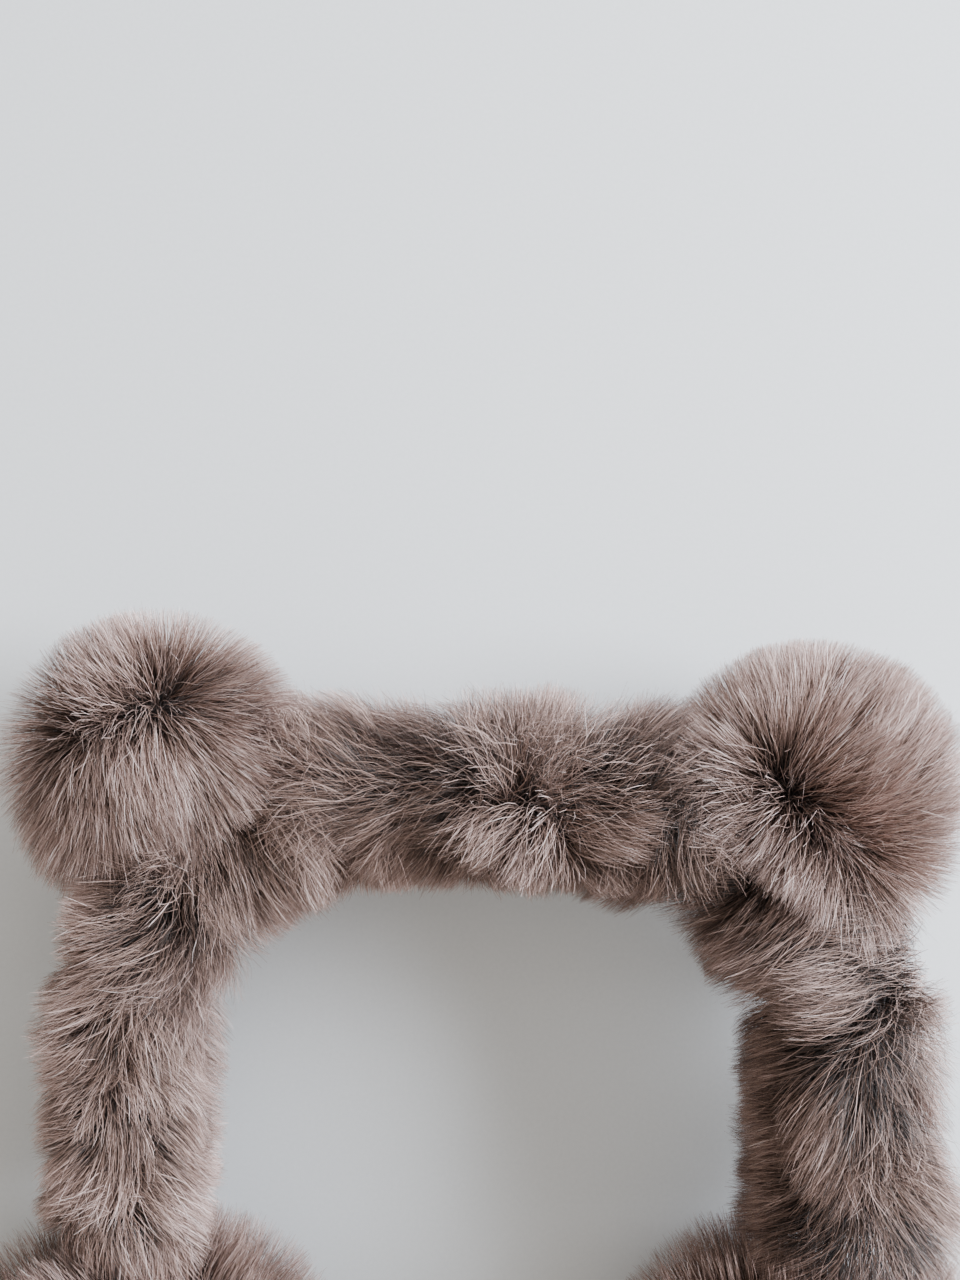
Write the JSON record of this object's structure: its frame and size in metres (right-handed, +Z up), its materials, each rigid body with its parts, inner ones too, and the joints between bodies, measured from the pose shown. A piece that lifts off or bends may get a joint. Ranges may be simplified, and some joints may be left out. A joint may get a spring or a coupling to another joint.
{
  "type": "animal ears headband",
  "caption": "Furry sprung arch headband with round plush bear ears at the shoulders and swivelling fur-covered ear pads at the ends, lying flat.",
  "frame": {"origin": "on the table, under the middle of the whole headband", "axes": "+Z up from the table, +Y from the pads to the ears, +X to the right side; the arch lies flat in X and Y"},
  "size_m": [0.276, 0.259, 0.088],
  "materials": {
    "taupe_fur": "long-pile faux fur, dark at the roots and pale at the tips",
    "soft_foam": "open-cell foam",
    "polyester_fill": "loose fibre fill",
    "spring_steel": "bright rolled strip",
    "moulded_plastic": "moulded, fine matt",
    "woven_tape": "plain woven tape",
    "hem_elastic": "braided elastic cord"
  },
  "bodies": {
    "crown": {"crown_spring": "spring_steel", "crown_foam": "soft_foam", "crown_fur": "taupe_fur"},
    "side_left": {"left_spring": "spring_steel", "left_foam": "soft_foam", "left_shoulder_fur": "taupe_fur", "left_leg_fur": "taupe_fur", "left_sleeve_binding": "woven_tape", "left_end_socket": "moulded_plastic", "left_socket_rivet": "spring_steel"},
    "pad_left": {"left_pad_plate": "moulded_plastic", "left_pad_pin": "spring_steel", "left_pad_foam": "soft_foam", "left_pad_hem_elastic": "hem_elastic", "left_pad_inner_fur": "taupe_fur", "left_pad_outer_fur": "taupe_fur"},
    "ear_left": {"left_ear_front": "taupe_fur", "left_ear_back": "taupe_fur", "left_ear_stuffing": "polyester_fill", "left_ear_root_tape": "woven_tape"},
    "side_right": {"right_spring": "spring_steel", "right_foam": "soft_foam", "right_shoulder_fur": "taupe_fur", "right_leg_fur": "taupe_fur", "right_sleeve_binding": "woven_tape", "right_end_socket": "moulded_plastic", "right_socket_rivet": "spring_steel"},
    "pad_right": {"right_pad_plate": "moulded_plastic", "right_pad_pin": "spring_steel", "right_pad_foam": "soft_foam", "right_pad_hem_elastic": "hem_elastic", "right_pad_inner_fur": "taupe_fur", "right_pad_outer_fur": "taupe_fur"},
    "ear_right": {"right_ear_front": "taupe_fur", "right_ear_back": "taupe_fur", "right_ear_stuffing": "polyester_fill", "right_ear_root_tape": "woven_tape"}
  },
  "joints": [
    {"name": "left_side_flex", "type": "hinge", "parent": "crown", "child": "side_left", "pos_m": [-0.024, 0.08147, 0.038], "axis": [0, 0, -1], "range_deg": [0, 12], "stiffness_Nm_per_rad": 2},
    {"name": "right_side_flex", "type": "hinge", "parent": "crown", "child": "side_right", "pos_m": [0.024, 0.08147, 0.038], "axis": [0, 0, 1], "range_deg": [0, 12], "stiffness_Nm_per_rad": 2},
    {"name": "left_pad_swivel", "type": "hinge", "parent": "side_left", "child": "pad_left", "pos_m": [-0.095, -0.07953, 0.038], "axis": [0, 0, -1], "range_deg": [-10, 10]},
    {"name": "right_pad_swivel", "type": "hinge", "parent": "side_right", "child": "pad_right", "pos_m": [0.095, -0.07953, 0.038], "axis": [0, 0, 1], "range_deg": [-10, 10]},
    {"name": "left_ear_bend", "type": "hinge", "parent": "side_left", "child": "ear_left", "pos_m": [-0.08875, 0.08953, 0.038], "axis": [0.7986, 0.6018, 0], "range_deg": [-25, 25], "stiffness_Nm_per_rad": 0.06},
    {"name": "right_ear_bend", "type": "hinge", "parent": "side_right", "child": "ear_right", "pos_m": [0.08875, 0.08953, 0.038], "axis": [0.7986, -0.6018, 0], "range_deg": [-25, 25], "stiffness_Nm_per_rad": 0.06}
  ]
}
